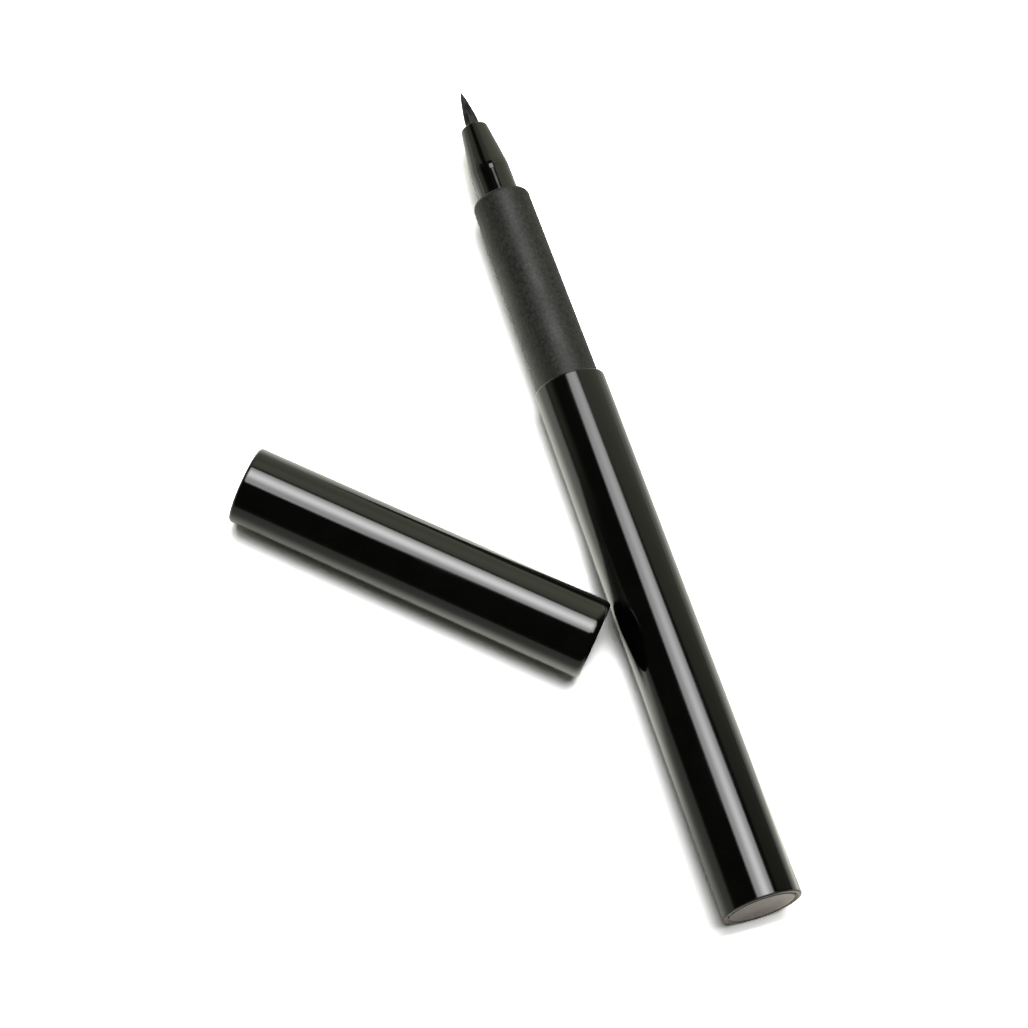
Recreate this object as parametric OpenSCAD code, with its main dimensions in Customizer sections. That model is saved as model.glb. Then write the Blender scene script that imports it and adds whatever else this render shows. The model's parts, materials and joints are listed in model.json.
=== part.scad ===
// Liquid eyeliner pen with a brush tip, uncapped, with its cap lying beside it.
// The pen lies along +X from the tail face at the origin to the brush tip.
// The cap lies on the same table, on the +Y side, its mouth near the barrel.
// All lengths are in millimetres.

/* [Barrel] */
// Length of the barrel, from the tail face to its front edge
barrel_len = 81; // [70:0.5:100]
// Bore of the barrel
barrel_bore_d = 8.7; // [8.2:0.1:10]
// Wall of the barrel at its front edge
barrel_wall = 0.95; // [0.8:0.05:1.4]
// How much the outer radius grows from the front edge to the tail
barrel_draft = 0.35; // [0:0.05:0.6]
// Rounding of the barrel's front and tail edges
barrel_edge_r = 0.2; // [0.1:0.05:0.3]

/* [Tail plug] */
// How far the disc that shows in the tail stands out over the barrel's bore
plug_ledge = 0.4; // [0.3:0.05:0.45]
// Thickness of that disc
plug_head_t = 1.6; // [1:0.1:2.5]
// Length of the stem behind the disc
plug_stem_len = 5; // [3:0.5:8]
// Wall of the hollow stem
plug_wall = 0.9; // [0.6:0.1:1.4]

/* [Ink tank] */
// Wall of the ink tank
tank_wall = 0.55; // [0.4:0.05:0.8]
// Thickness of the tank's closed rear end
tank_end_t = 0.9; // [0.6:0.1:1.5]
// Diameter of the mixing ball
ball_d = 3; // [2:0.1:3.4]
// Distance from the tank's end to the resting ball
ball_rest_gap = 2; // [0.5:0.5:20]

/* [Collector] */
// Length of the collector's plug inside the tank mouth
stopper_len = 6; // [5:0.5:9]
// Thickness of the flange between the tank and the grip's spigot
flange_t = 1.2; // [0.8:0.1:2]
// Thickness of one ink fin
fin_t = 0.35; // [0.25:0.05:0.5]
// Gap between two ink fins
fin_gap = 0.4; // [0.3:0.05:0.6]
// Diameter of the collector's core
core_d = 3; // [2.7:0.1:3.6]
// Width of the air slot along the fins
air_slot_w = 0.9; // [0.6:0.1:1.4]
// Width of the capillary slit that joins the fins to the wick
ink_slit_w = 0.25; // [0.2:0.05:0.4]
// Cord diameter of the seal ring in the tank mouth
seal_d = 0.9; // [0.7:0.05:1.1]
// Diameter of the feed wick
wick_d = 1.5; // [1.2:0.1:1.7]
// Length of wick that reaches into the tank
wick_reach = 3; // [1:0.5:6]

/* [Grip] */
// Length of the grip in front of the barrel
grip_len = 32; // [26:0.5:40]
// How far the grip's foot stands out over the barrel's bore
grip_step = 0.25; // [0.15:0.05:0.3]
// How much the grip's radius shrinks towards the nose
grip_taper = 0.32; // [0:0.02:0.5]
// Rounding of the grip's front shoulder
grip_round = 0.8; // [0.4:0.1:1]
// Length of the grip's spigot inside the barrel
spigot_len = 9.8; // [7:0.2:14]
// Bore of the grip, round the collector
grip_bore_d = 6.9; // [6.7:0.1:7.1]
// Thickness of the grip's front wall
grip_front_t = 2.5; // [1.8:0.1:3.5]

/* [Nose] */
// Diameter of the nose where it leaves the grip
nose_d = 6; // [5.4:0.1:6.2]
// Length of the nearly straight part of the nose
nose_straight_len = 5.2; // [3:0.1:8]
// Length of the cone in front of it
nose_cone_len = 7.45; // [5:0.1:10]
// Diameter of the nose's front rim
nose_rim_d = 4.05; // [3.6:0.05:4.4]
// Bevel of the front rim
nose_bevel = 0.22; // [0.1:0.02:0.4]
// Thickness of the flange behind the grip's front wall
nose_flange_t = 2; // [1.2:0.1:3]

/* [Brush] */
// Diameter of the brush where it leaves the nose
brush_d = 2.2; // [1.8:0.05:2.3]
// Length of the brush in front of the nose
brush_len = 6.4; // [4:0.1:8]
// Spacing of the strands at their root
strand_pitch = 0.096; // [0.093:0.001:0.105]
// Width of one strand at its root
strand_w = 0.075; // [0.05:0.005:0.08]
// Wall of the ferrule round the brush's root
ferrule_wall = 0.35; // [0.25:0.05:0.45]
// Length of the ferrule in front of its flange
ferrule_len = 9; // [6:0.5:10]
// Thickness of the ferrule's flange
ferrule_flange_t = 1; // [0.6:0.1:1.5]

/* [Cap] */
// Wall of the cap at its mouth
cap_wall = 0.8; // [0.8:0.02:1.2]
// How much the cap's outer radius shrinks towards its closed end
cap_draft = 0.24; // [0:0.02:0.4]
// Radial clearance between the cap's bore and the foot of the grip
cap_clearance = 0.4; // [0.35:0.05:0.6]
// Thickness of the cap's closed end
cap_end_t = 1; // [0.8:0.1:2]
// Rounding of the cap's mouth edge, across its wall
cap_mouth_round = 0.62; // [0.3:0.02:0.64]
// Length of that rounding along the cap
cap_lip_len = 1.1; // [0.4:0.1:1.4]
// Bevel inside the cap's mouth
cap_mouth_bevel = 0.12; // [0.05:0.01:0.15]
// Rounding of the cap's closed end
cap_end_round = 0.5; // [0.2:0.1:0.8]
// Number of holding ribs inside the mouth
rib_count = 6; // [3:1:10]
// Width of one rib
rib_w = 0.8; // [0.5:0.1:1.2]
// Length of the ribs
rib_len = 8; // [4:0.5:12]
// Distance from the mouth to the ribs
rib_start = 1.5; // [1:0.1:3]

/* [Inner cap] */
// Wall of the inner cap
inner_wall = 0.65; // [0.5:0.05:0.8]
// Thickness of its closed end
inner_end_t = 0.6; // [0.5:0.1:1.2]
// Thickness of its flange
inner_flange_t = 1; // [0.6:0.1:1.5]
// How far it moves back on its spring when the cap is put on
inner_travel = 1.2; // [0.6:0.1:2]
// Free space in front of the brush tip with the cap on
tip_room = 0.4; // [0.3:0.1:1.5]
// Length of the collar that holds the inner cap in
collar_len = 2.4; // [1.5:0.1:4]
// Diameter of the spring's wire
spring_wire_d = 0.4; // [0.3:0.02:0.45]
// Number of turns of the spring
spring_turns = 9; // [6:1:14]

/* [Cap on the table] */
// Turn of the cap from the pen's axis, mouth towards the barrel
cap_turn = 49; // [20:1:90]
// Place of the centre of the cap's mouth along the pen
cap_place = 42.4; // [25:0.2:70]
// Gap between the corner of the cap's mouth and the barrel
cap_gap = 0.2; // [0.2:0.1:5]

/* [Hidden] */
$fn = 96;
// Radial clearance of pieces that are pressed or slid together
fit = 0.02;
// Overrun of cuts
over = 1;
// Points in a quarter round of an edge
arc_steps = 8;
// Shares of the sizes that they follow
snout_gap_share = 0.75;
air_slot_share = 0.8;
nose_draft_share = 0.01;
nose_blend_share = 0.1;
deep_wall_share = 0.3;
rib_root_share = 0.25;
rib_slope_share = 3;

// Radii of the barrel, the grip and the cap
bore_r = barrel_bore_d / 2;
front_r = bore_r + barrel_wall;
tail_r = front_r + barrel_draft;
foot_r = bore_r + grip_step;
grip_front_r = foot_r - grip_taper;
grip_bore_r = grip_bore_d / 2;
plug_r = bore_r + plug_ledge;
plug_bevel = (tail_r - barrel_edge_r - plug_r) / 2;
nose_r = nose_d / 2;
rim_r = nose_rim_d / 2;
brush_r = brush_d / 2;
cap_bore_r = foot_r + cap_clearance;
cap_r = cap_bore_r + cap_wall;
cap_end_r = cap_r - cap_draft;

// Places along the pen, from the tail face forwards
tank_x = plug_head_t + plug_stem_len;
flange_x = barrel_len - spigot_len - flange_t;
stopper_x = flange_x - stopper_len;
grip_front_x = barrel_len + grip_len;
nose_flange_x = grip_front_x - grip_front_t - nose_flange_t;
rim_x = grip_front_x + nose_straight_len + nose_cone_len;
tip_x = rim_x + brush_len;

// Ink tank
tank_r = bore_r - 2 * fit;
tank_bore_r = tank_r - tank_wall;
ball_r = ball_d / 2;
ball_x = tank_x + tank_end_t + ball_rest_gap + ball_r;
ball_drop = tank_bore_r - ball_r - 2 * fit;

// Collector: its stopper, comb and snout
stopper_r = tank_bore_r - fit;
seal_r = seal_d / 2;
groove_r = tank_bore_r - seal_d - fit;
groove_w = seal_d + 4 * fit;
groove_x = stopper_x + (stopper_len - groove_w) / 2;
wick_r = wick_d / 2;
wick_bore_r = wick_r + 2 * fit;
core_r = core_d / 2;
fin_r = grip_bore_r - 4 * fit;
fin_pitch = fin_t + fin_gap;
snout_len = nose_flange_t + ferrule_flange_t / 2;
snout_r = core_r + fin_gap * snout_gap_share;
comb_x = flange_x + flange_t;
comb_len = nose_flange_x - comb_x;
fin_count = floor((comb_len - fin_gap) / fin_pitch);
air_slot_depth = (fin_r - core_r) * air_slot_share;
wick_x = stopper_x - wick_reach;

// Nose and brush
snout_end_x = nose_flange_x + snout_len;
ferrule_x = snout_end_x;
ferrule_bore_r = brush_r + fit;
ferrule_r = ferrule_bore_r + ferrule_wall;
ferrule_flange_r = snout_r;
nose_well_x = ferrule_x + ferrule_flange_t;
nose_bore_end_x = nose_well_x + ferrule_len + fit;
nose_flange_r = grip_bore_r - fit;
nose_front_r = nose_r * (1 - nose_draft_share);
nose_blend = nose_straight_len * nose_blend_share;

// Cap, from its mouth inwards
inner_gap = 0.1;
cap_len = tip_x - barrel_len + tip_room + inner_end_t + 2 * inner_gap + cap_end_t;
inner_mouth_z = grip_len - inner_travel;
inner_end_z = cap_len - cap_end_t - 2 * inner_gap - inner_travel;
collar_z = inner_mouth_z - collar_len;
collar_r = cap_bore_r - fit;
collar_bore_r = foot_r - grip_taper + 2 * inner_gap;
deep_bore_r = cap_bore_r - cap_wall * deep_wall_share;
inner_flange_r = deep_bore_r - inner_gap;
inner_bore_r = nose_r + inner_gap;
inner_r = inner_bore_r + inner_wall;
nib_room_r = rim_r + inner_gap;
cap_center_r = cap_r - tail_r;
rib_r = foot_r + 4 * fit;

// Spring, between the inner cap's flange and the cap's closed end
wire_r = spring_wire_d / 2;
coil_r = (inner_r + deep_bore_r) / 2;
coil_z0 = inner_mouth_z + inner_flange_t + wire_r + fit;
coil_z1 = cap_len - cap_end_t - wire_r - fit;
coil_pitch = (coil_z1 - coil_z0) / spring_turns;
coil_ring_count = 8;
coil_side_count = 6;
echo(spring_least_gap = least_coil_gap());

// Place of the cap's mouth on the table
corner_x = cap_place + cap_r * sin(cap_turn);
cap_y = barrel_r(corner_x) + cap_gap + cap_r * cos(cap_turn);
echo(cap_mouth = [cap_place, cap_y, cap_center_r], cap_len = cap_len, tip_x = tip_x);

// Outer radius of the barrel at a distance x from the tail face
function barrel_r(x) = tail_r - barrel_draft * x / barrel_len;

// Points of a quarter round about the centre [r, z], from angle a0 to a1, stretched along z by a share
function round_edge(r, z, size, a0, a1, stretch_share = 1) =
    [for (i = [0:arc_steps])
        let (a = a0 + (a1 - a0) * i / arc_steps)
            [r + size * cos(a), z + size * stretch_share * sin(a)]];

// The pen's pieces are drawn upwards from the tail and laid along +X
module on_pen() {
    rotate([0, 90, 0])
        children();
}

// The cap's pieces are drawn upwards from the mouth and laid on the table
module on_cap() {
    translate([cap_place, cap_y, cap_center_r])
        rotate([0, 0, cap_turn])
            rotate([0, 90, 0])
                children();
}

// Outer tube of the pen, tapered outside, with the seat of the tail plug
module barrel() {
    color([0.03, 0.03, 0.03])
        on_pen()
            rotate_extrude()
                polygon(concat(
                    round_edge(tail_r - barrel_edge_r, barrel_edge_r, barrel_edge_r, -90, 0),
                    round_edge(front_r - barrel_edge_r, barrel_len - barrel_edge_r, barrel_edge_r, 0, 90),
                    [[bore_r, barrel_len],
                     [bore_r, plug_head_t],
                     [plug_r + fit, plug_head_t],
                     [plug_r + fit, plug_bevel],
                     [plug_r + fit + plug_bevel, 0]]));
}

// Disc that closes the tail, with a hollow stem that holds the tank forwards
module tail_plug() {
    stem_r = bore_r - fit;
    color([0.12, 0.12, 0.12])
        on_pen()
            rotate_extrude()
                polygon([[0, 0],
                         [plug_r - plug_bevel / 2, 0],
                         [plug_r, plug_bevel / 2],
                         [plug_r, plug_head_t],
                         [stem_r, plug_head_t],
                         [stem_r, tank_x - plug_wall / 2],
                         [stem_r - plug_wall / 2, tank_x],
                         [stem_r - plug_wall, tank_x],
                         [stem_r - plug_wall, plug_head_t],
                         [0, plug_head_t]]);
}

// Translucent tank, closed at the rear, open to the collector at the front
module ink_tank() {
    end_z = tank_x + tank_end_t;
    color([0.85, 0.87, 0.88, 0.6])
        on_pen()
            rotate_extrude()
                polygon([[0, tank_x],
                         [tank_r - tank_wall, tank_x],
                         [tank_r, tank_x + tank_wall],
                         [tank_r, flange_x],
                         [tank_bore_r, flange_x],
                         [tank_bore_r, end_z + tank_wall],
                         [tank_bore_r - tank_wall, end_z],
                         [0, end_z]]);
}

// Steel ball that stirs the ink, lying on the lower side of the tank
module mixing_ball() {
    color([0.75, 0.76, 0.78])
        translate([ball_x, 0, -ball_drop])
            sphere(ball_r);
}

// Outline of the comb of fins, from the flange to the snout
function comb_points() = [
    for (i = [0:fin_count - 1])
        let (z = comb_x + fin_gap + i * fin_pitch)
            each [[core_r, z], [fin_r, z], [fin_r, z + fin_t], [core_r, z + fin_t]]];

// Ink collector: a stopper in the tank, a comb of thin fins round a core, and a snout
// An air slot runs along the fins on one side and a capillary slit on the other
module collector() {
    flange_r = bore_r - 2 * fit;
    color([0.9, 0.9, 0.88])
        on_pen()
            difference() {
                rotate_extrude()
                    polygon(concat(
                        [[wick_bore_r, stopper_x],
                         [stopper_r - tank_wall, stopper_x],
                         [stopper_r, stopper_x + tank_wall],
                         [stopper_r, groove_x],
                         [groove_r, groove_x],
                         [groove_r, groove_x + groove_w],
                         [stopper_r, groove_x + groove_w],
                         [stopper_r, flange_x],
                         [flange_r, flange_x],
                         [flange_r, comb_x],
                         [core_r, comb_x]],
                        comb_points(),
                        [[core_r, nose_flange_x],
                         [snout_r, nose_flange_x],
                         [snout_r, snout_end_x],
                         [wick_bore_r, snout_end_x]]));
                translate([fin_r - air_slot_depth, -air_slot_w / 2, comb_x])
                    cube([fin_r, air_slot_w, comb_len - fin_gap]);
                translate([-fin_r - over, -ink_slit_w / 2, comb_x + fin_gap])
                    cube([fin_r + over - wick_bore_r / 2, ink_slit_w, comb_len - 2 * fin_gap]);
            }
}

// Rubber ring in the stopper's groove
module tank_seal() {
    color([0.1, 0.1, 0.1])
        on_pen()
            translate([0, 0, groove_x + groove_w / 2])
                rotate_extrude()
                    translate([groove_r + seal_r + fit / 2, 0])
                        circle(seal_r - fit / 2, $fn = 32);
}

// Fibre rod that carries the ink from the tank to the brush
module feed_wick() {
    color([0.92, 0.92, 0.9])
        on_pen()
            translate([0, 0, wick_x])
                cylinder(h = ferrule_x - wick_x, r = wick_r);
}

// Matt front section that is held between the fingers, with its spigot in the barrel
module grip() {
    spigot_r = bore_r - fit;
    color([0.1, 0.1, 0.1])
        on_pen()
            rotate_extrude()
                polygon(concat(
                    [[grip_bore_r, comb_x],
                     [spigot_r - grip_step, comb_x],
                     [spigot_r, comb_x + grip_step],
                     [spigot_r, barrel_len],
                     [foot_r, barrel_len]],
                    round_edge(grip_front_r - grip_round, grip_front_x - grip_round, grip_round, 0, 90),
                    [[nose_r + fit, grip_front_x],
                     [nose_r + fit, grip_front_x - grip_front_t],
                     [grip_bore_r, grip_front_x - grip_front_t]]));
}

// Gloss nose that is put through the grip from behind and rests on its flange
module nose_cone() {
    flange_end_x = nose_flange_x + nose_flange_t;
    cone_x = grip_front_x + nose_straight_len;
    cone_slope = (nose_front_r - rim_r) / nose_cone_len;
    color([0.04, 0.04, 0.04])
        on_pen()
            rotate_extrude()
                polygon([[snout_r + fit, nose_flange_x],
                         [nose_flange_r, nose_flange_x],
                         [nose_flange_r, flange_end_x],
                         [nose_r, flange_end_x],
                         [nose_r, grip_front_x],
                         [nose_front_r, cone_x - nose_blend],
                         [nose_front_r - cone_slope * nose_blend / 3, cone_x],
                         [nose_front_r - cone_slope * nose_blend, cone_x + nose_blend],
                         [rim_r, rim_x - nose_bevel],
                         [rim_r - nose_bevel, rim_x],
                         [ferrule_bore_r + nose_bevel, rim_x],
                         [ferrule_bore_r, rim_x - nose_bevel],
                         [ferrule_bore_r, nose_bore_end_x],
                         [ferrule_r + fit, nose_bore_end_x],
                         [ferrule_r + fit, nose_well_x],
                         [snout_r + fit, nose_well_x]]);
}

// Flanged sleeve round the root of the brush
module brush_ferrule() {
    color([0.6, 0.6, 0.62])
        on_pen()
            rotate_extrude()
                polygon([[ferrule_bore_r, ferrule_x],
                         [ferrule_flange_r, ferrule_x],
                         [ferrule_flange_r, nose_well_x],
                         [ferrule_r, nose_well_x],
                         [ferrule_r, nose_well_x + ferrule_len - ferrule_wall / 2],
                         [ferrule_r - ferrule_wall / 2, nose_well_x + ferrule_len],
                         [ferrule_bore_r, nose_well_x + ferrule_len]]);
}

// Shares of the brush's sizes: the strands' rows, their root, their tips and where they would meet
row_share = sin(60);
root_inset_share = 0.8;
root_depth_share = 0.15;
root_sink_share = 0.05;
outer_drop_share = 0.16;
outer_drop_power = 1.3;
scatter_share = 0.1;
gather_share = 0.12;
root_x = ferrule_x + fit;
strand_x = rim_x - brush_d * root_depth_share;

// Roots of the strands, on a staggered grid inside the brush's root
row_pitch = strand_pitch * row_share;
root_r = brush_r - strand_w * root_inset_share;
row_count = floor(root_r / row_pitch);
column_count = ceil(root_r / strand_pitch) + 1;
strand_roots = [
    for (row = [-row_count:row_count], column = [-column_count:column_count])
        let (p = [(column + (row % 2 == 0 ? 0 : 0.5)) * strand_pitch, row * row_pitch])
            if (norm(p) <= root_r) p];
// Strands run towards one point just past the tip, so none crosses another
gather_x = tip_x + brush_len * gather_share;
strand_seed = 7;
strand_scatter = rands(0, 1, len(strand_roots), strand_seed);
echo(strand_count = len(strand_roots));

// Length of a strand: full at the axis, shorter and uneven towards the outside
function strand_end(i) =
    let (share = norm(strand_roots[i]) / root_r)
        tip_x - brush_len * (outer_drop_share * pow(share, outer_drop_power)
                             + scatter_share * share * strand_scatter[i]);
function strand_points(i) =
    let (p = strand_roots[i], h = strand_w / 2, z = strand_x - brush_d * root_sink_share, e = strand_end(i),
         s = 1 - (e - z) / (gather_x - z))
        [[p[0] - h, p[1] - h, z], [p[0] + h, p[1] - h, z],
         [p[0] + h, p[1] + h, z], [p[0] - h, p[1] + h, z],
         [p[0] * s, p[1] * s, e]];
function strand_faces(k) = [[k, k + 1, k + 2, k + 3], [k + 4, k + 1, k], [k + 4, k + 2, k + 1],
                            [k + 4, k + 3, k + 2], [k + 4, k, k + 3]];

// Brush: four sided tapering strands, fused to a round root
module brush() {
    corner_count = len(strand_points(0));
    color([0.2, 0.2, 0.2])
        on_pen()
            union() {
                translate([0, 0, root_x])
                    cylinder(h = strand_x - root_x, r = brush_r);
                polyhedron(
                    points = [for (i = [0:len(strand_roots) - 1]) each strand_points(i)],
                    faces = [for (i = [0:len(strand_roots) - 1]) each strand_faces(i * corner_count)]);
            }
}

// Outer shell of the cap, with a step for the collar and ribs that hold on to the grip
module cap_shell() {
    deep_end_z = cap_len - cap_end_t;
    color([0.03, 0.03, 0.03])
        on_cap()
            union() {
                rotate_extrude()
                    polygon(concat(
                        [[cap_bore_r, cap_mouth_bevel],
                         [cap_bore_r + cap_mouth_bevel, 0]],
                        round_edge(cap_r - cap_mouth_round, cap_lip_len, cap_mouth_round, -90, 0,
                                   cap_lip_len / cap_mouth_round),
                        round_edge(cap_end_r - cap_end_round, cap_len - cap_end_round, cap_end_round, 0, 90),
                        [[0, cap_len],
                         [0, deep_end_z],
                         [deep_bore_r - cap_end_round, deep_end_z],
                         [deep_bore_r, deep_end_z - cap_end_round],
                         [deep_bore_r, inner_mouth_z],
                         [cap_bore_r, inner_mouth_z]]));
                for (i = [0:rib_count - 1])
                    rotate([0, 0, i * 360 / rib_count])
                        cap_rib();
            }
}

// One holding rib, sloped at both ends and rooted in the wall
module cap_rib() {
    depth = cap_bore_r - rib_r;
    root = cap_wall * rib_root_share;
    slope_len = depth * rib_slope_share;
    translate([0, rib_w / 2, 0])
        rotate([90, 0, 0])
            linear_extrude(rib_w)
                polygon([[cap_bore_r + root, rib_start],
                         [cap_bore_r, rib_start],
                         [rib_r, rib_start + slope_len],
                         [rib_r, rib_start + rib_len - slope_len],
                         [cap_bore_r, rib_start + rib_len],
                         [cap_bore_r + root, rib_start + rib_len]]);
}

// Ring pressed against the step in the cap, which keeps the inner cap in
module cap_collar() {
    lead = (collar_r - collar_bore_r) / 2;
    color([0.15, 0.15, 0.15])
        on_cap()
            rotate_extrude()
                polygon([[collar_bore_r + lead, collar_z],
                         [collar_r - lead / 2, collar_z],
                         [collar_r, collar_z + lead],
                         [collar_r, inner_mouth_z],
                         [collar_bore_r, inner_mouth_z],
                         [collar_bore_r, collar_z + lead]]);
}

// Sprung inner cap that closes over the nose and keeps the brush wet
module inner_cap() {
    shoulder_z = inner_mouth_z + nose_straight_len + inner_travel;
    rim_z = shoulder_z + nose_cone_len;
    chamber_end_z = inner_end_z - inner_end_t;
    color([0.88, 0.88, 0.86])
        on_cap()
            rotate_extrude()
                polygon([[inner_bore_r, inner_mouth_z],
                         [inner_flange_r, inner_mouth_z],
                         [inner_flange_r, inner_mouth_z + inner_flange_t],
                         [inner_r, inner_mouth_z + inner_flange_t],
                         [inner_r, inner_end_z - inner_wall],
                         [inner_r - inner_wall, inner_end_z],
                         [0, inner_end_z],
                         [0, chamber_end_z],
                         [nib_room_r - inner_wall, chamber_end_z],
                         [nib_room_r, chamber_end_z - inner_wall],
                         [nib_room_r, rim_z],
                         [inner_bore_r, shoulder_z]]);
}

// Points and faces of the spring's wire, a tube swept along a helix
function coil_center(t) = [coil_r * cos(t * 360), coil_r * sin(t * 360), coil_z0 + coil_pitch * t];
function coil_ring(t) =
    let (c = coil_center(t), out = [cos(t * 360), sin(t * 360), 0],
         rise = atan2(coil_pitch, 2 * PI * coil_r),
         side = [sin(t * 360) * sin(rise), -cos(t * 360) * sin(rise), cos(rise)])
        [for (j = [0:coil_side_count - 1])
            let (a = j * 360 / coil_side_count) c + wire_r * (cos(a) * out + sin(a) * side)];
function tube_faces(rings, sides) = concat(
    [[for (j = [0:sides - 1]) j]],
    [for (i = [0:rings - 2], j = [0:sides - 1])
        let (k = (j + 1) % sides)
            each [[i * sides + j, (i + 1) * sides + j, i * sides + k],
                  [i * sides + k, (i + 1) * sides + j, (i + 1) * sides + k]]],
    [[for (j = [sides - 1:-1:0]) (rings - 1) * sides + j]]);
// Least gap between neighbouring turns, measured on points of the wire's middle
function least_coil_gap() = min([
    for (i = [0:coil_ring_count], j = [-2:2])
        let (t = i / coil_ring_count, next_t = t + 1 + j / coil_ring_count)
            norm(coil_center(t) - coil_center(next_t))]) - spring_wire_d;

// Spring that presses the inner cap towards the mouth
module cap_spring() {
    rings = spring_turns * coil_ring_count + 1;
    color([0.7, 0.71, 0.73])
        on_cap()
            polyhedron(
                points = [for (i = [0:rings - 1]) each coil_ring(i / coil_ring_count)],
                faces = tube_faces(rings, coil_side_count));
}

barrel();
tail_plug();
ink_tank();
mixing_ball();
collector();
tank_seal();
feed_wick();
grip();
nose_cone();
brush_ferrule();
brush();
cap_shell();
cap_collar();
inner_cap();
cap_spring();
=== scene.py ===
"""Looks, light and camera for a liquid eyeliner pen that lies uncapped beside its cap."""

import json
import math
import random

import bpy
from mathutils import Matrix, Vector


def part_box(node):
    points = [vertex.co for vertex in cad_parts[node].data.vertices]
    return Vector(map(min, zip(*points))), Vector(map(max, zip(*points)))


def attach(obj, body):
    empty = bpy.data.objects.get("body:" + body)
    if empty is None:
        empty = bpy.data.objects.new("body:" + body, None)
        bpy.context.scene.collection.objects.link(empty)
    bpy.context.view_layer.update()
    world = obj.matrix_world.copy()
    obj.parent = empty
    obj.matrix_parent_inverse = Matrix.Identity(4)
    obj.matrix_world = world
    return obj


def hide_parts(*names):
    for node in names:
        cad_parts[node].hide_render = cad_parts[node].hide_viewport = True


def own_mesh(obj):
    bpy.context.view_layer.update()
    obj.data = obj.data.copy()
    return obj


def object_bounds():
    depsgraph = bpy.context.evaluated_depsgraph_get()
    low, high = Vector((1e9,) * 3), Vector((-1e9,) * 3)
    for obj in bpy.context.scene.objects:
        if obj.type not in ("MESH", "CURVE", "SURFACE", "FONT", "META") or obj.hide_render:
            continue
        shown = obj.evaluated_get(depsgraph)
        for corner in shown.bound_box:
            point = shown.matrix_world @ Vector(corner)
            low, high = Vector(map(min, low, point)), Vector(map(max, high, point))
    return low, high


MM = 0.001
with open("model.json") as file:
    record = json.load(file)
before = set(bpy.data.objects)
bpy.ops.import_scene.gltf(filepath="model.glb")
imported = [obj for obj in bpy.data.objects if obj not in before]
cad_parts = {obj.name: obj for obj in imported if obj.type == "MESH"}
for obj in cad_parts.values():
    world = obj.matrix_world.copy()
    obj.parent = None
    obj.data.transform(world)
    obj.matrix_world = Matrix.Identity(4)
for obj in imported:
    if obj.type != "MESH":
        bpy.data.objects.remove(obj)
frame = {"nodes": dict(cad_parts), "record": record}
cad_low, cad_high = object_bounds()
nodes = frame["nodes"]


def world_point(x, y, z):
    """A place in the part's frame, from millimetres to metres."""
    return Vector((x, y, z)) * MM


# Camera: the photograph's place and aim, its roll in degrees, and the lens that fits its outlines
CAMERA_AT = world_point(-89.49, 127.51, 375.66)
CAMERA_AIM = world_point(65.95, 12.62, -5.5)
CAMERA_ROLL = 20.04
CAMERA_LENS = 105.06
CAMERA_SENSOR = 36.0
CAMERA_NEAR = 10 * MM


def make_camera():
    """Camera at the photograph's viewing angle."""
    data = bpy.data.cameras.new("camera")
    data.lens = CAMERA_LENS
    data.sensor_width = CAMERA_SENSOR
    data.clip_start = CAMERA_NEAR
    camera = bpy.data.objects.new("camera", data)
    aim = (CAMERA_AIM - CAMERA_AT).to_track_quat("-Z", "Y").to_matrix().to_4x4()
    roll = Matrix.Rotation(math.radians(CAMERA_ROLL), 4, "Z")
    camera.matrix_world = Matrix.Translation(CAMERA_AT) @ aim @ roll
    bpy.context.scene.collection.objects.link(camera)
    bpy.context.scene.camera = camera


# Most noise lies in this span of its height from 0 to 1
NOISE_SPAN = (0.3, 0.7)


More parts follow.
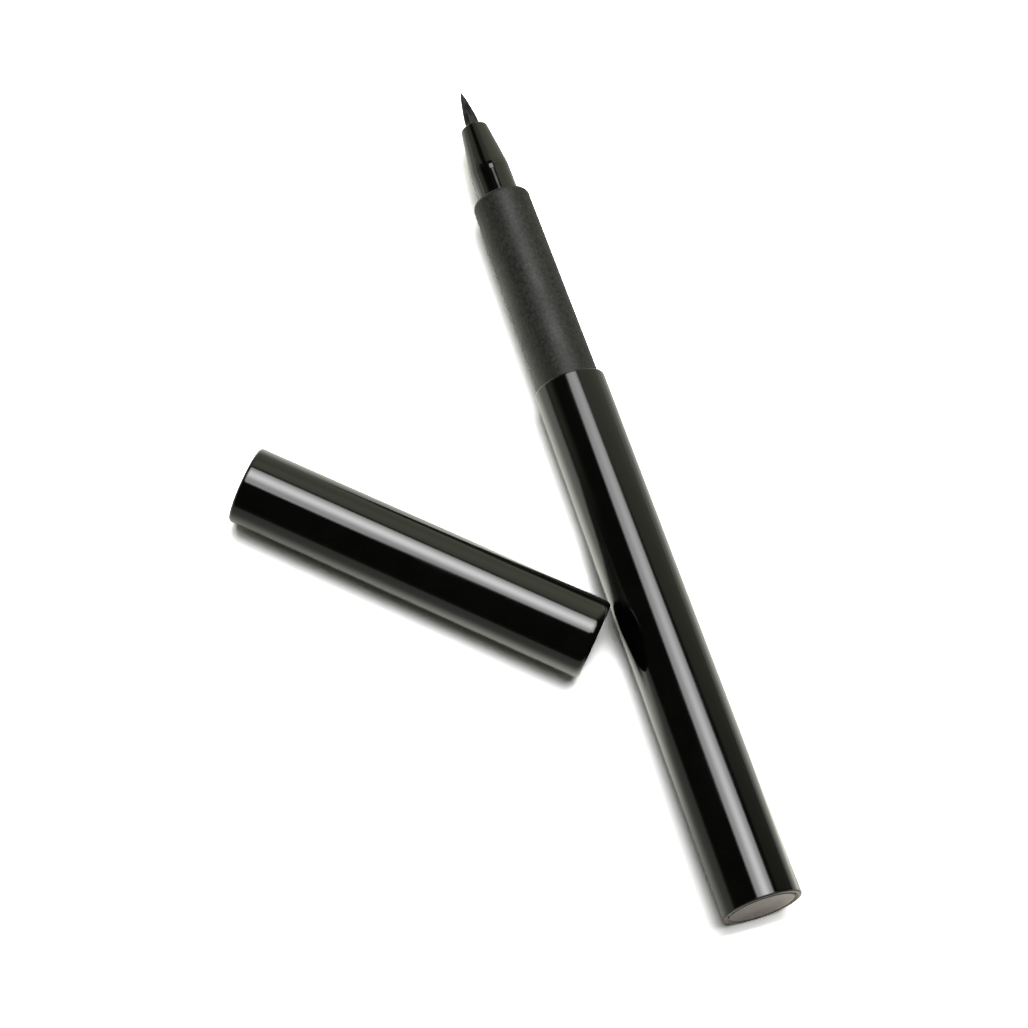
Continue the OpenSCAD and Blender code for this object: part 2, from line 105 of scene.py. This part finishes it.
class Tree:
    """Short calls that build a node tree."""

    def __init__(self, node_tree):
        self.node_tree = node_tree
        node_tree.nodes.clear()

    def add(self, kind, inputs=None, **settings):
        """A node with its settings, and its inputs linked or set."""
        made = self.node_tree.nodes.new(kind)
        for name, value in settings.items():
            setattr(made, name, value)
        for name, value in (inputs or {}).items():
            if isinstance(value, bpy.types.NodeSocket):
                self.node_tree.links.new(value, made.inputs[name])
            else:
                made.inputs[name].default_value = value
        return made

    def math(self, operation, first, second=0.0, third=0.0):
        """Result of one sum."""
        inputs = {0: first, 1: second, 2: third}
        return self.add("ShaderNodeMath", inputs, operation=operation).outputs[0]

    def chain(self, operation, values):
        """Values joined one after another by one operation."""
        result = values[0]
        for value in values[1:]:
            result = self.math(operation, result, value)
        return result

    def product(self, *values):
        """All values multiplied."""
        return self.chain("MULTIPLY", values)

    def largest(self, *values):
        """The largest of the values."""
        return self.chain("MAXIMUM", values)

    def ramp(self, value, span, levels, kind="SMOOTHSTEP"):
        """Value taken from a span to a pair of levels."""
        names = ("From Min", "From Max", "To Min", "To Max")
        inputs = {"Value": value, **dict(zip(names, (*span, *levels)))}
        return self.add("ShaderNodeMapRange", inputs, interpolation_type=kind).outputs["Result"]

    def rise(self, value, span, top=1.0):
        """From 0 to a top level over a span."""
        return self.ramp(value, span, (0.0, top))

    def fall(self, value, span, top=1.0):
        """From a top level to 0 over a span."""
        return self.ramp(value, span, (top, 0.0))

    def split(self, vector):
        """The three parts of a vector."""
        return self.add("ShaderNodeSeparateXYZ", {0: vector}).outputs[:]

    def along(self, x, y, way):
        """How far a place lies along a direction in the plane."""
        return self.math("MULTIPLY_ADD", x, way[0], self.math("MULTIPLY", y, way[1]))

    def distance(self, x, y, centre):
        """Distance from a place in the plane."""
        off_x = self.math("SUBTRACT", x, centre[0])
        off_y = self.math("SUBTRACT", y, centre[1])
        squares = self.math("MULTIPLY_ADD", off_x, off_x, self.math("MULTIPLY", off_y, off_y))
        return self.math("SQRT", squares)

    def own_place(self):
        """Place in the piece's own coordinates, in metres."""
        return self.add("ShaderNodeTexCoord").outputs["Object"]

    def noise(self, wavelength, detail=2.0, stretch=(1, 1, 1)):
        """Noise over the piece's own coordinates, with a wavelength in millimetres."""
        scaled = self.add("ShaderNodeMapping", {"Vector": self.own_place(), "Scale": stretch})
        inputs = {"Vector": scaled.outputs[0], "Detail": detail, "Scale": 1 / (wavelength * MM)}
        return self.add("ShaderNodeTexNoise", inputs).outputs["Fac"]

    def colours(self, value, shades):
        """Colour that goes from the darker shade to the lighter as the value crosses the span of noise."""
        made = self.add("ShaderNodeValToRGB", {"Fac": value})
        first, last = made.color_ramp.elements
        first.position, last.position = NOISE_SPAN
        first.color, last.color = [(*shade, 1) for shade in shades]
        return made.outputs["Color"]

    def bump(self, height, depth, normal=None):
        """Bump of a height from 0 to 1 over a depth in millimetres."""
        inputs = {"Height": height, "Strength": 1.0, "Distance": depth * MM}
        if normal is not None:
            inputs["Normal"] = normal
        return self.add("ShaderNodeBump", inputs).outputs["Normal"]

    def seen(self, path):
        """1 for the camera's rays, also through clear plastic, and 0 for others."""
        return self.largest(path.outputs["Is Camera Ray"], path.outputs["Is Transmission Ray"])

    def surface(self, colour, rough, **values):
        """Puts a Principled surface on the output; other inputs by their name with underscores."""
        inputs = {"Base Color": colour, "Roughness": rough}
        inputs.update({name.replace("_", " "): value for name, value in values.items()})
        self.output(self.add("ShaderNodeBsdfPrincipled", inputs))

    def output(self, shader, kind="ShaderNodeOutputMaterial"):
        """Links the last shader to the output."""
        self.add(kind, {"Surface": shader.outputs[0]})


def new_material(name):
    """Empty node material and its tree."""
    material = bpy.data.materials.new(name)
    material.use_nodes = True
    return material, Tree(material.node_tree)


# Studio, by direction: unit vectors in the part's frame, so all numbers are shares of a unit
# Softbox: a round one overhead, brightest in its middle, cut off by a straight side and by the photographer
SOFTBOX_CENTRE, SOFTBOX_R, SOFTBOX_FADE = (0.10, -0.03), 0.415, (-0.02, 0.02)
SOFTBOX_SIDE, SOFTBOX_SIDE_AT = (0.755, -0.656), 0.47
GLOW_CENTRE, GLOW_SPAN, GLOW_LEVELS = (0.15, -0.06), (0.0, 0.32), (9.5, 3.8)
SHADE_CENTRE, SHADE_R = (-0.41, 0.13), 0.275
# Dark frame round the softbox, wider at one corner and open at the next
FRAME_FADE, FRAME_WIDER = (0.05, 0.10), 0.10
WIDER_X, WIDER_Y = (0.27, 0.35), (-0.36, -0.30)
OPEN_X, OPEN_Y = (0.34, 0.39), (-0.34, -0.31)
# Wall: a pale one ahead of the pen, brightest on the right, with a dark seam, and low on the left
WALL_LIGHT, WALL_COLOUR = 0.68, (0.965, 1.0, 0.76, 1.0)
RIGHT_FADE = (-0.42, 0.42)
DEEP_FADE, DEEP_LIGHT = (0.52, 0.62), 0.55
SEAM_AT, SEAM_FADE = 0.4, (0.10, 0.22)
LEFT_FADE, LEFT_LOW, LEFT_LIGHT = (0.35, 0.40), (0.15, 0.48), 0.64
AHEAD_FADE, AHEAD_LIGHT = (0.1, 0.62), 0.95
DIM_FADE, DIM_LEVELS = (0.66, 0.76), (1.0, 0.7)
STUDIO_DARK = 0.02
# Horizon: where the softbox's light ends, and up to where the camera sees white
HORIZON_FADE, HORIZON_SHOWN = (0.0, 0.02), (0.16, 0.18)
WHITE = (1, 1, 1, 1)


def make_world():
    """World light by direction alone, with a low white horizon that no mirror sees."""
    world = bpy.data.worlds.new("studio")
    bpy.context.scene.world = world
    world.use_nodes = True
    tree = Tree(world.node_tree)
    x, y, z = tree.split(tree.add("ShaderNodeTexCoord").outputs["Generated"])

    past_rim = tree.math("SUBTRACT", tree.distance(x, y, SOFTBOX_CENTRE), SOFTBOX_R)
    past_side = tree.math("SUBTRACT", tree.along(x, y, SOFTBOX_SIDE), SOFTBOX_SIDE_AT)
    past_shade = tree.math("SUBTRACT", SHADE_R, tree.distance(x, y, SHADE_CENTRE))
    past = tree.largest(past_rim, past_side, past_shade)
    glow = tree.ramp(tree.distance(x, y, GLOW_CENTRE), GLOW_SPAN, GLOW_LEVELS)
    softbox = tree.product(glow, tree.fall(past, SOFTBOX_FADE), tree.rise(z, HORIZON_FADE))

    right = tree.fall(y, RIGHT_FADE)
    seam = tree.rise(tree.math("ABSOLUTE", tree.math("SUBTRACT", y, SEAM_AT)), SEAM_FADE)
    deep = tree.product(tree.rise(x, DEEP_FADE, DEEP_LIGHT), seam)
    left = tree.product(tree.rise(x, LEFT_FADE, LEFT_LIGHT), tree.fall(z, LEFT_LOW))
    wider = tree.product(tree.fall(x, WIDER_X), tree.fall(y, WIDER_Y))
    past_frame = tree.math("MULTIPLY_ADD", wider, -FRAME_WIDER, past)
    opened = tree.product(tree.rise(x, OPEN_X), tree.fall(y, OPEN_Y))
    clear = tree.largest(tree.rise(past_frame, FRAME_FADE), opened)
    ahead = tree.product(tree.rise(x, AHEAD_FADE, AHEAD_LIGHT), tree.ramp(x, DIM_FADE, DIM_LEVELS))
    wall = tree.product(ahead, tree.largest(right, deep, left), clear)
    wall = tree.math("MULTIPLY_ADD", wall, WALL_LIGHT, STUDIO_DARK)

    horizon = tree.product(tree.seen(tree.add("ShaderNodeLightPath")), tree.fall(z, HORIZON_SHOWN))
    white = tree.largest(softbox, horizon)
    wall_light = tree.add("ShaderNodeBackground", {"Color": WALL_COLOUR, "Strength": wall})
    box_light = tree.add("ShaderNodeBackground", {"Color": WHITE, "Strength": white})
    both = tree.add("ShaderNodeAddShader", {0: wall_light.outputs[0], 1: box_light.outputs[0]})
    tree.output(both, "ShaderNodeOutputWorld")


# Floor: how bright the camera sees it along the pen, from the tail forwards and behind the tail; this
# painted light lifts the object's shadow, more towards the front and most behind the tail
FLOOR_SIZE, FLOOR_COLOUR = 12.0, 0.82
SHOWN_SPAN, SHOWN_LEVELS = (8 * MM, 55 * MM), (2.1, 3.2)
BEHIND_SPAN, SHOWN_BEHIND = (-3.2 * MM, 0.4 * MM), 7.0
# Painted contact shadow: the floor's colour is darker where the object closes in its surroundings
CONTACT_DISTANCE, CONTACT_SPAN, CONTACT_LEVELS = 12 * MM, (0.26, 0.42), (0.36, 1.0)
# Painted light: the floor's colour that only mirrors see is a painted pool of light that fades away from
# the pen, a painted reflection brightness
# Floor in mirrors: brightness by millimetres from the tail to the photograph's lower left, and less in
# the second mirror that a ray meets
TO_LOWER_LEFT = (-0.64 / MM, 0.77 / MM)
UPPER_SPAN, UPPER_LEVELS = (-90.0, -30.0), (0.6, 1.2)
MIDDLE_SPAN, MIDDLE_LEVELS = (-26.0, 2.0), (1.5, 0.42)
LOST_SPAN, LOST_LEVELS = (22.0, 60.0), (1.0, 0.1)
AGAIN_SPAN, AGAIN_LEVELS = (1.2, 1.8), (1.0, 0.35)
# Floor in mirrors, painted brighter close on the left of the pen's axis and of the cap's, and round the
# tail, where a warm painted tint is added
CLOSE_START, CLOSE_END, CLOSE_MORE = (0.0, 4 * MM), (9 * MM, 17 * MM), 0.65
CAP_ACROSS, CAP_OFF = (-0.755, 0.656), 25.8 * MM
TAIL_AT, TAIL_SPAN, TAIL_LEVEL = (-3 * MM, -2 * MM), (6 * MM, 12 * MM), 1.45
MIRRORED_PAINTED_TINT, TAIL_PAINTED_TINT = (0.98, 1.0, 0.9, 1.0), (1.0, 0.92, 0.83, 1.0)


def painted_floor_light_in_mirrors(tree, path, x, y):
    """Painted light: brightness and tint of the floor in mirrors, by place, with painted shade in the
    second mirror.
    """
    left = tree.along(x, y, TO_LOWER_LEFT)
    upper = tree.ramp(left, UPPER_SPAN, UPPER_LEVELS)
    middle = tree.ramp(left, MIDDLE_SPAN, MIDDLE_LEVELS)
    lost = tree.ramp(left, LOST_SPAN, LOST_LEVELS)
    again = tree.ramp(path.outputs["Glossy Depth"], AGAIN_SPAN, AGAIN_LEVELS)
    level = tree.product(tree.math("MINIMUM", upper, middle), lost, again)
    from_cap = tree.math("ADD", tree.along(x, y, CAP_ACROSS), CAP_OFF)
    close = [tree.product(tree.rise(off, CLOSE_START), tree.fall(off, CLOSE_END, CLOSE_MORE))
             for off in (y, from_cap)]
    level = tree.math("MULTIPLY_ADD", level, tree.largest(*close), level)
    tail = tree.fall(tree.distance(x, y, TAIL_AT), TAIL_SPAN, TAIL_LEVEL)
    colours = {"Factor": tail, "A": MIRRORED_PAINTED_TINT, "B": TAIL_PAINTED_TINT}
    painted_tint = tree.add("ShaderNodeMix", colours, data_type="RGBA").outputs["Result"]
    return tree.product(path.outputs["Is Glossy Ray"], tree.largest(level, tail)), painted_tint


def make_floor():
    """Pale floor, which shows whiter than it lights and keeps the object's shadow, with a painted contact
    shadow, painted light that thins the shadow, and painted brightness in mirrors.
    """
    half = FLOOR_SIZE / 2
    low = cad_low.z
    corners = [(-half, -half, low), (half, -half, low), (half, half, low), (-half, half, low)]
    mesh = bpy.data.meshes.new("floor")
    mesh.from_pydata(corners, [], [(0, 1, 2, 3)])
    floor = bpy.data.objects.new("floor", mesh)
    bpy.context.scene.collection.objects.link(floor)
    material, tree = new_material("floor_white")
    path = tree.add("ShaderNodeLightPath")
    x, y = tree.split(tree.add("ShaderNodeNewGeometry").outputs["Position"])[:2]
    mirrored_painted_light, painted_tint = painted_floor_light_in_mirrors(tree, path, x, y)
    openness = tree.add("ShaderNodeAmbientOcclusion", {"Distance": CONTACT_DISTANCE}).outputs["AO"]
    # Painted light: the floor's colour rises along the pen and behind the tail, which thins the shadow
    # there
    ahead = tree.ramp(x, SHOWN_SPAN, SHOWN_LEVELS)
    white = tree.largest(ahead, tree.fall(x, BEHIND_SPAN, SHOWN_BEHIND))
    # Painted contact shadow: darker colour where the object closes in the floor
    white = tree.product(white, tree.ramp(openness, CONTACT_SPAN, CONTACT_LEVELS))
    seen = tree.seen(path)
    other = tree.math("SUBTRACT", 1.0, tree.largest(seen, path.outputs["Is Glossy Ray"]))
    plain = tree.math("MULTIPLY_ADD", seen, white, tree.product(other, FLOOR_COLOUR))
    # Painted reflection: only mirrors see the floor's painted brightness and tint
    tinted = tree.add("ShaderNodeVectorMath", {0: painted_tint, "Scale": mirrored_painted_light}, operation="SCALE")
    colour = tree.add("ShaderNodeVectorMath", {0: tinted.outputs[0], 1: plain}, operation="ADD")
    matt = tree.add("ShaderNodeBsdfDiffuse", {"Color": colour.outputs[0]})
    under = tree.add("ShaderNodeNewGeometry").outputs["Backfacing"]
    clear = tree.add("ShaderNodeBsdfTransparent")
    tree.output(tree.add("ShaderNodeMixShader", {0: under, 1: matt.outputs[0], 2: clear.outputs[0]}))
    mesh.materials.append(material)


# Shades of the materials, the darker and the lighter
LACQUER_BLACK = (0.0012, 0.0012, 0.0013), (0.0025, 0.0025, 0.0024)
GRIP_BLACK = (0.004, 0.0045, 0.0035), (0.036, 0.037, 0.032)
PLUG_BLACK = (0.060, 0.050, 0.050), (0.080, 0.066, 0.066)
PLAIN_BLACK = (0.02, 0.02, 0.02), (0.03, 0.03, 0.03)
FIBRE_BLACK = (0.002, 0.002, 0.002), (0.066, 0.067, 0.066)
TANK_MILKY = (0.80, 0.82, 0.83), (0.88, 0.89, 0.90)
INNER_WHITE = (0.78, 0.78, 0.76), (0.84, 0.84, 0.82)
WICK_WHITE = (0.75, 0.75, 0.72), (0.85, 0.85, 0.82)
STEEL_GREY = (0.55, 0.55, 0.57), (0.68, 0.68, 0.70)
# How strongly clear plastic and lacquer bend light
PLASTIC_IOR = 1.5
# Nose: a height in millimetres that its shading gains towards the knee, and where along the pen
FLARE_HEIGHT, FLARE_SPAN = 0.11, (112.5 * MM, 117.0 * MM)
# Tail: a fine rough ring on the barrel's end, and where along the pen
RING_ROUGH, RING_SPAN = 0.6, (0.1 * MM, 0.3 * MM)


def gloss_black(name, edge_round, rough=(0.07, 0.12), flare=False, ring=False):
    """Lacquered black plastic: clear coat, soft edges, faint waves and marks; a flare or a rough ring."""
    material, tree = new_material(name)
    edge = tree.add("ShaderNodeBevel", {"Radius": edge_round * MM}, samples=4).outputs["Normal"]
    if flare:
        forwards = tree.split(tree.own_place())[0]
        height = tree.ramp(forwards, FLARE_SPAN, levels=(1.0, 0.0), kind="LINEAR")
        edge = tree.bump(height, FLARE_HEIGHT, edge)
    colour = tree.colours(tree.noise(wavelength=4.0), LACQUER_BLACK)
    roughness = tree.ramp(tree.noise(wavelength=9.0, detail=3.0), span=(0.35, 0.7), levels=rough)
    if ring:
        forwards = tree.split(tree.own_place())[0]
        roughness = tree.largest(roughness, tree.fall(forwards, RING_SPAN, RING_ROUGH))
    waves = tree.bump(tree.noise(wavelength=7.0, detail=1.0, stretch=(0.4, 1, 1)), depth=0.008, normal=edge)
    marks = tree.bump(tree.noise(wavelength=0.35), depth=0.0004, normal=waves)
    tree.surface(colour, roughness, Normal=marks, IOR=PLASTIC_IOR, Coat_Weight=0.6, Coat_Roughness=0.03,
                 Coat_IOR=PLASTIC_IOR, Coat_Normal=waves)
    return material


def grained(name, shades, rough, grain, depth, sheen=0.0, mottle=3.0):
    """Moulded plastic, rubber or felt with a fine grain over a soft unevenness.

    The grain's and the mottle's wavelengths and the grain's depth are in millimetres."""
    material, tree = new_material(name)
    colour = tree.colours(tree.noise(mottle, detail=4.0), shades)
    roughness = tree.ramp(tree.noise(wavelength=5.0, detail=3.0), NOISE_SPAN, rough)
    uneven = tree.bump(tree.noise(wavelength=6.0, detail=1.0), depth=0.01)
    skin = tree.bump(tree.noise(grain, detail=3.0), depth, uneven)
    tree.surface(colour, roughness, Normal=skin, Sheen_Weight=sheen, Sheen_Roughness=0.4)
    return material


def metal(name, shades, rough):
    """Drawn or ground steel with fine lines."""
    material, tree = new_material(name)
    colour = tree.colours(tree.noise(wavelength=1.0, detail=3.0), shades)
    roughness = tree.ramp(tree.noise(wavelength=0.3), NOISE_SPAN, rough)
    lines = tree.bump(tree.noise(wavelength=0.1, stretch=(0.1, 1, 1)), depth=0.0008)
    tree.surface(colour, roughness, Normal=lines, Metallic=1.0)
    return material


def clear_plastic():
    """Milky translucent tank."""
    material, tree = new_material("tank_clear")
    colour = tree.colours(tree.noise(wavelength=4.0), TANK_MILKY)
    roughness = tree.ramp(tree.noise(wavelength=2.0), NOISE_SPAN, levels=(0.18, 0.3))
    tree.surface(colour, roughness, Transmission_Weight=0.7, IOR=PLASTIC_IOR)
    return material


# Brush fibre: how much of its shade each filament has for itself
FILAMENT_SHADE = 0.3


def fibre_black():
    """Ink-stained synthetic fibre: each filament and each strand of them has a shade of its own."""
    material, tree = new_material("brush_fibre")
    filament = tree.add("ShaderNodeNewGeometry").outputs["Random Per Island"]
    streaks = tree.noise(wavelength=0.28, detail=1.0, stretch=(0.08, 1, 1))
    strand = tree.rise(streaks, span=(0.4, 0.6), top=0.7)
    shade = tree.math("MULTIPLY_ADD", filament, FILAMENT_SHADE, strand)
    colour = tree.colours(shade, FIBRE_BLACK)
    roughness = tree.ramp(tree.noise(wavelength=0.4, stretch=(0.2, 1, 1)), NOISE_SPAN, levels=(0.28, 0.45))
    tree.surface(colour, roughness, IOR=PLASTIC_IOR)
    return material


def dress(material, *names):
    """Gives CAD nodes one material."""
    for name in names:
        mesh = nodes[name].data
        mesh.materials.clear()
        mesh.materials.append(material)


def tube(points, faces, rings):
    """Adds a closed tube over rings of points that all have as many points."""
    start, sides = len(points), len(rings[0])
    for ring in rings:
        points.extend(ring)
    for i in range(len(rings) - 1):
        for j in range(sides):
            k = (j + 1) % sides
            a, b = start + i * sides, start + (i + 1) * sides
            faces.append((a + j, a + k, b + k, b + j))
    faces.append(tuple(start + j for j in reversed(range(sides))))
    faces.append(tuple(start + (len(rings) - 1) * sides + j for j in range(sides)))


def make_piece(name, points, faces, material, slot, body, *replaced):
    """Object of millimetre points that rides on a body and stands for CAD nodes."""
    mesh = bpy.data.meshes.new(name)
    mesh.from_pydata([world_point(*v) for v in points], [], faces)
    mesh.polygons.foreach_set("use_smooth", [True] * len(mesh.polygons))
    mesh.materials.append(material)
    mesh.update()
    piece = bpy.data.objects.new(name, mesh)
    bpy.context.scene.collection.objects.link(piece)
    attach(piece, body)
    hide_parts(*replaced)
    return piece


# Brush, in millimetres: a root rod that ends just inside the nose's rim, then a crowned cone with a belly
brush_low, brush_high = (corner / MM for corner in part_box("brush"))
RIM_X, TIP_X, ROOT_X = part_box("nose_cone")[1].x / MM, brush_high.x, brush_low.x
BRUSH_INSET, BRUSH_TIP_R = 0.01, 0.03
BRUSH_R = brush_high.y - BRUSH_INSET
BRUSH_CROWN, BRUSH_BELLY = 0.65, 0.75
ROOT_DEPTH, ROOT_SIDES = 0.6, 48
# Dark core inside the filaments, shorter and thinner than the brush
CORE_LENGTH_SHARE, CORE_R_SHARE, CORE_STEPS, CORE_SIDES = 0.96, 0.86, 12, 24
# Filaments: spread evenly, drawn together in clumps, slightly bent and thinner towards the tip
FILAMENTS, FILAMENT_R, FILAMENT_RINGS, FILAMENT_SIDES = 900, 0.034, 9, 5
CLUMPS, CLUMP_PULL, CLUMP_RATE = 30, 0.2, 1.2
END_SCATTER, MOST_BEND = 0.10, 0.02
THINNED_SHARE, POINT_R_SHARE = 0.5, 0.25
GOLDEN_TURN = math.pi * (3 - math.sqrt(5))
DRAW_SEED = 5


def brush_radius(x):
    """Radius of the brush at a place along the pen."""
    share = min(1.0, (TIP_X - x) / (TIP_X - RIM_X))
    root_r = BRUSH_R * (1 + BRUSH_BELLY * share ** 2 * (1 - share))
    return BRUSH_TIP_R + (root_r - BRUSH_TIP_R) * share ** BRUSH_CROWN


def disc_ring(x, y, z, radius, sides, turn=0.0):
    """Ring of points round the pen's direction, in millimetres."""
    angles = [turn + 2 * math.pi * j / sides for j in range(sides)]
    return [(x, y + radius * math.cos(a), z + radius * math.sin(a)) for a in angles]


def spread(count, radius):
    """Dots that fill a disc evenly: across, up, distance from the centre and turn."""
    for i in range(count):
        reach = radius * math.sqrt((i + 0.5) / count)
        turn = i * GOLDEN_TURN
        yield reach * math.cos(turn), reach * math.sin(turn), reach, turn


def make_brush(material):
    """Brush tip: root rod, core and filaments that gather in clumps."""
    draw = random.Random(DRAW_SEED)
    points, faces = [], []
    start_x = RIM_X - ROOT_DEPTH
    length = TIP_X - start_x
    tube(points, faces, [disc_ring(x, 0, 0, BRUSH_R, ROOT_SIDES) for x in (ROOT_X, start_x)])
    core = [start_x + length * CORE_LENGTH_SHARE * i / CORE_STEPS for i in range(CORE_STEPS + 1)]
    tube(points, faces, [disc_ring(x, 0, 0, CORE_R_SHARE * brush_radius(x), CORE_SIDES) for x in core])
    clumps = [dot[:2] for dot in spread(CLUMPS, BRUSH_R)]
    last = FILAMENT_RINGS - 1
    for y, z, reach, turn in spread(FILAMENTS, BRUSH_R - FILAMENT_R):
        clump_y, clump_z = min(clumps, key=lambda clump: (clump[0] - y) ** 2 + (clump[1] - z) ** 2)
        end = 1.0 - END_SCATTER * draw.random() * (reach / BRUSH_R)
        bend_y, bend_z = draw.uniform(-MOST_BEND, MOST_BEND), draw.uniform(-MOST_BEND, MOST_BEND)
        rings = []
        for k in range(FILAMENT_RINGS):
            share = end * k / last
            x = start_x + length * share
            pull = CLUMP_PULL * math.sin(math.pi * min(1.0, CLUMP_RATE * share))
            size = brush_radius(x) / BRUSH_R
            sway = math.sin(math.pi * share)
            ring_y = (y + (clump_y - y) * pull) * size + bend_y * sway
            ring_z = (z + (clump_z - z) * pull) * size + bend_z * sway
            ring_r = FILAMENT_R * (1 - THINNED_SHARE * share if k < last else POINT_R_SHARE)
            rings.append(disc_ring(x, ring_y, ring_z, ring_r, FILAMENT_SIDES, turn))
        tube(points, faces, rings)
    return make_piece("brush_filaments", points, faces, material, "brush_fibre", "pen", "brush")


# Spring of the inner cap, in millimetres: an open helix of round wire, placed from the cap's closed end
COIL_R, WIRE_R, COIL_TURNS = 4.255, 0.2, 9
COIL_FROM_END, COIL_LEN = 1.22, 20.01
COIL_RINGS_PER_TURN, WIRE_SIDES = 32, 10


def make_spring(material):
    """Compression spring between the inner cap's flange and the closed end."""
    mount = next(m for m in frame["record"]["mounts"] if m["name"] == "cap_end_face")
    end = Vector(mount["pos_m"]) / MM
    axis = Vector(mount["axis"]).normalized()
    across = Vector((0, 0, 1))
    side = axis.cross(across)
    start = end - axis * (COIL_FROM_END + COIL_LEN)
    pitch = COIL_LEN / COIL_TURNS
    points, faces, rings = [], [], []
    for i in range(COIL_TURNS * COIL_RINGS_PER_TURN + 1):
        turn = 2 * math.pi * i / COIL_RINGS_PER_TURN
        out = across * math.cos(turn) + side * math.sin(turn)
        centre = start + axis * (pitch * i / COIL_RINGS_PER_TURN) + out * COIL_R
        run = (side * math.cos(turn) - across * math.sin(turn)) * COIL_R + axis * (pitch / (2 * math.pi))
        lift = out.cross(run).normalized()
        angles = [2 * math.pi * j / WIRE_SIDES for j in range(WIRE_SIDES)]
        rings.append([tuple(centre + (out * math.cos(a) + lift * math.sin(a)) * WIRE_R) for a in angles])
    tube(points, faces, rings)
    spring = make_piece("spring_wire", points, faces, material, "spring_steel", "cap", "cap_spring")
    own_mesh(spring)


make_camera()
make_world()
make_floor()

# Materials of the pieces
dress(gloss_black("barrel_black", edge_round=0.4, ring=True), "barrel")
dress(gloss_black("cap_black", edge_round=0.25), "cap_shell")
dress(gloss_black("nose_black", edge_round=0.12, rough=(0.03, 0.05), flare=True), "nose_cone")
matt_grip = grained("grip_black", GRIP_BLACK, rough=(0.44, 0.54), grain=0.35, depth=0.02, sheen=0.03,
                    mottle=0.45)
dress(matt_grip, "grip")
dress(grained("plug_black", PLUG_BLACK, rough=(0.2, 0.28), grain=0.3, depth=0.002), "tail_plug")
dress(grained("collar_black", PLAIN_BLACK, rough=(0.3, 0.4), grain=0.3, depth=0.002), "cap_collar")
dress(grained("seal_rubber", PLAIN_BLACK, rough=(0.6, 0.7), grain=0.2, depth=0.003), "tank_seal")
white = grained("inner_white", INNER_WHITE, rough=(0.3, 0.4), grain=0.4, depth=0.002)
dress(white, "inner_cap", "collector")
dress(grained("wick_fibre", WICK_WHITE, rough=(0.8, 0.9), grain=0.08, depth=0.02), "feed_wick")
steel = metal("steel", STEEL_GREY, rough=(0.16, 0.24))
dress(steel, "mixing_ball", "brush_ferrule")
make_spring(steel)
dress(clear_plastic(), "ink_tank")
make_brush(fibre_black())

bpy.context.scene.view_settings.view_transform = "Standard"
